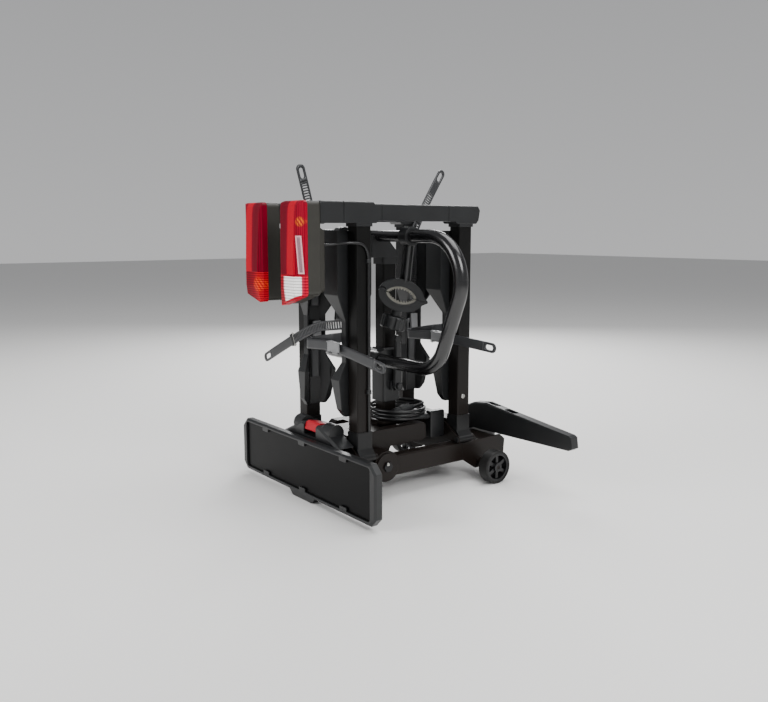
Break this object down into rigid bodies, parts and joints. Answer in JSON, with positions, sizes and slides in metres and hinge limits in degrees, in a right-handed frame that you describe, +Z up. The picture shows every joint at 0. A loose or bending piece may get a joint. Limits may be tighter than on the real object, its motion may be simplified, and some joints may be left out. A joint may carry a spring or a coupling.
{
  "type": "tow ball bicycle carrier",
  "caption": "Folded tow ball bicycle carrier with hinged wings, wheel trays, frame clamps on a hoop, lamps, plate holder, tilt hinge, transport wheels and coupling lever",
  "frame": {"origin": "centre of the tow ball seat in the coupling", "axes": "+X to the right seen from behind the car, +Y forward towards the car, +Z up. The carrier stands folded on its wheels and the plate holder's foot, 82 mm below the origin"},
  "size_m": [0.6785, 0.6715, 0.7582],
  "materials": {
    "satin_black": "satin black powder coat on steel",
    "gloss_black": "glossy black powder coat on tube",
    "zinc_steel": "bright zinc plated steel",
    "cast_black": "black coated cast iron",
    "black_plastic": "textured black plastic",
    "grey_plastic": "textured dark grey plastic",
    "light_grey_plastic": "light grey plastic",
    "red_plastic": "red plastic",
    "red_lens": "clear red lens plastic",
    "lower_lens": "ribbed lens plastic, amber and clear",
    "black_plate": "black enamelled sheet",
    "black_rubber": "black rubber",
    "tread": "solid rubber tread",
    "strap_plastic": "flexible black strap plastic",
    "cable_black": "black cable sheath"
  },
  "bodies": {
    "chassis": {"chassis_frame": "satin_black", "tilt_pivot_pin": "zinc_steel", "coupling_housing": "cast_black", "lever_pin": "zinc_steel"},
    "coupling_lever": {"coupling_lever": "black_plastic"},
    "ball_jaw": {"ball_jaw": "zinc_steel"},
    "platform": {"platform_frame": "satin_black", "wing_hinge_pins": "zinc_steel", "mast_post": "satin_black", "mast_collar": "black_plastic", "mast_cap": "black_plastic", "hoop_tube": "gloss_black", "hoop_sleeve": "gloss_black", "plate_holder": "black_plastic", "number_plate": "black_plate", "plate_bracket": "satin_black", "pedal_housing": "black_plastic", "junction_box": "grey_plastic", "lead_run": "cable_black", "lead_coil": "cable_black", "lead_plug": "black_rubber"},
    "mast_lever": {"mast_lever": "black_plastic"},
    "foot_pedal": {"foot_pedal": "red_plastic"},
    "wing_right": {"wing_posts_right": "satin_black", "hinge_feet_right": "cast_black", "top_bar_right": "black_plastic", "tray_rear_right": "black_plastic", "tray_front_right": "black_plastic", "lamp_housing_right": "black_plastic", "lens_red_right": "red_lens", "lens_lower_right": "lower_lens", "lamp_cable_right": "cable_black", "buckle_straps_right": "strap_plastic", "ladder_strap_rear_right": "strap_plastic", "ladder_strap_front_right": "strap_plastic"},
    "wing_left": {"wing_posts_left": "satin_black", "hinge_feet_left": "cast_black", "top_bar_left": "black_plastic", "tray_rear_left": "black_plastic", "tray_front_left": "black_plastic", "lamp_housing_left": "black_plastic", "lens_red_left": "red_lens", "lens_lower_left": "lower_lens", "lamp_cable_left": "cable_black", "buckle_straps_left": "strap_plastic", "ladder_straps_left": "strap_plastic"},
    "wheel_right": {"wheel_hub_right": "grey_plastic", "wheel_tyre_right": "tread"},
    "clamp_arm_right": {"clamp_arm_right": "black_plastic"},
    "clamp_jaw_right": {"clamp_jaw_right": "black_plastic"},
    "clamp_knob_right": {"clamp_knob_right": "black_plastic"},
    "buckle_lever_rear_right": {"buckle_lever_rear_right": "light_grey_plastic"},
    "buckle_lever_front_right": {"buckle_lever_front_right": "light_grey_plastic"},
    "wheel_left": {"wheel_hub_left": "grey_plastic", "wheel_tyre_left": "tread"},
    "clamp_arm_left": {"clamp_arm_left": "black_plastic"},
    "clamp_jaw_left": {"clamp_jaw_left": "black_plastic"},
    "clamp_knob_left": {"clamp_knob_left": "black_plastic"},
    "buckle_lever_rear_left": {"buckle_lever_rear_left": "light_grey_plastic"},
    "buckle_lever_front_left": {"buckle_lever_front_left": "light_grey_plastic"}
  },
  "joints": [
    {"name": "platform_tilt", "type": "hinge", "parent": "chassis", "child": "platform", "pos_m": [0, -0.418, -0.002], "axis": [1, 0, 0], "range_deg": [0, 30]},
    {"name": "coupling_lever_hinge", "type": "hinge", "parent": "chassis", "child": "coupling_lever", "pos_m": [0, -0.058, 0.036], "axis": [0, -1, 0], "range_deg": [0, 75]},
    {"name": "ball_jaw_slide", "type": "slide", "parent": "chassis", "child": "ball_jaw", "axis": [0, -1, 0], "range_m": [0, 0.005]},
    {"name": "mast_lever_hinge", "type": "hinge", "parent": "platform", "child": "mast_lever", "pos_m": [0.04, -0.319, 0.158], "axis": [1, 0, 0], "range_deg": [-45, 0]},
    {"name": "foot_pedal_hinge", "type": "hinge", "parent": "platform", "child": "foot_pedal", "pos_m": [0, -0.507, 0.078], "axis": [1, 0, 0], "range_deg": [0, 12], "stiffness_Nm_per_rad": 3},
    {"name": "wheel_right_spin", "type": "hinge", "parent": "chassis", "child": "wheel_right", "pos_m": [0.173, -0.126, -0.042], "axis": [1, 0, 0], "continuous": true},
    {"name": "wing_right_hinge", "type": "hinge", "parent": "platform", "child": "wing_right", "pos_m": [0.128, -0.3285, 0.027], "axis": [0, 1, 0], "range_deg": [0, 90]},
    {"name": "clamp_arm_right_hinge", "type": "hinge", "parent": "platform", "child": "clamp_arm_right", "pos_m": [0.131, -0.36, 0.51], "axis": [1, 0, 0], "range_deg": [-8, 12]},
    {"name": "wheel_left_spin", "type": "hinge", "parent": "chassis", "child": "wheel_left", "pos_m": [-0.173, -0.126, -0.042], "axis": [1, 0, 0], "continuous": true},
    {"name": "wing_left_hinge", "type": "hinge", "parent": "platform", "child": "wing_left", "pos_m": [-0.128, -0.3285, 0.027], "axis": [0, -1, 0], "range_deg": [0, 90]},
    {"name": "clamp_arm_left_hinge", "type": "hinge", "parent": "platform", "child": "clamp_arm_left", "pos_m": [-0.131, -0.36, 0.51], "axis": [1, 0, 0], "range_deg": [-8, 12]},
    {"name": "clamp_jaw_right_hinge", "type": "hinge", "parent": "clamp_arm_right", "child": "clamp_jaw_right", "pos_m": [0.0785, -0.39385, 0.39083], "axis": [-0.7986, 0.6018, 0], "range_deg": [0, 25]},
    {"name": "clamp_knob_right_turn", "type": "hinge", "parent": "clamp_jaw_right", "child": "clamp_knob_right", "pos_m": [0.09364, -0.37375, 0.31736], "axis": [0.1618, 0.2148, 0.9632], "continuous": true},
    {"name": "clamp_jaw_left_hinge", "type": "hinge", "parent": "clamp_arm_left", "child": "clamp_jaw_left", "pos_m": [-0.0785, -0.39385, 0.39083], "axis": [-0.7986, -0.6018, 0], "range_deg": [0, 25]},
    {"name": "clamp_knob_left_turn", "type": "hinge", "parent": "clamp_jaw_left", "child": "clamp_knob_left", "pos_m": [-0.09364, -0.37375, 0.31736], "axis": [-0.1618, 0.2148, 0.9632], "continuous": true},
    {"name": "buckle_lever_rear_right_hinge", "type": "hinge", "parent": "wing_right", "child": "buckle_lever_rear_right", "pos_m": [0.084, -0.541, 0.2765], "axis": [0, 0, -1], "range_deg": [0, 80]},
    {"name": "buckle_lever_rear_left_hinge", "type": "hinge", "parent": "wing_left", "child": "buckle_lever_rear_left", "pos_m": [-0.0685, -0.4745, 0.276], "axis": [0, 1, 0], "range_deg": [0, 80]},
    {"name": "buckle_lever_front_right_hinge", "type": "hinge", "parent": "wing_right", "child": "buckle_lever_front_right", "pos_m": [0.084, -0.249, 0.2765], "axis": [0, 0, -1], "range_deg": [0, 80]},
    {"name": "buckle_lever_front_left_hinge", "type": "hinge", "parent": "wing_left", "child": "buckle_lever_front_left", "pos_m": [-0.0685, -0.1825, 0.276], "axis": [0, 1, 0], "range_deg": [0, 80]}
  ],
  "couplings": [
    {"joint": "ball_jaw_slide", "follows": "coupling_lever_hinge", "m_per_rad": 0.0036}
  ]
}
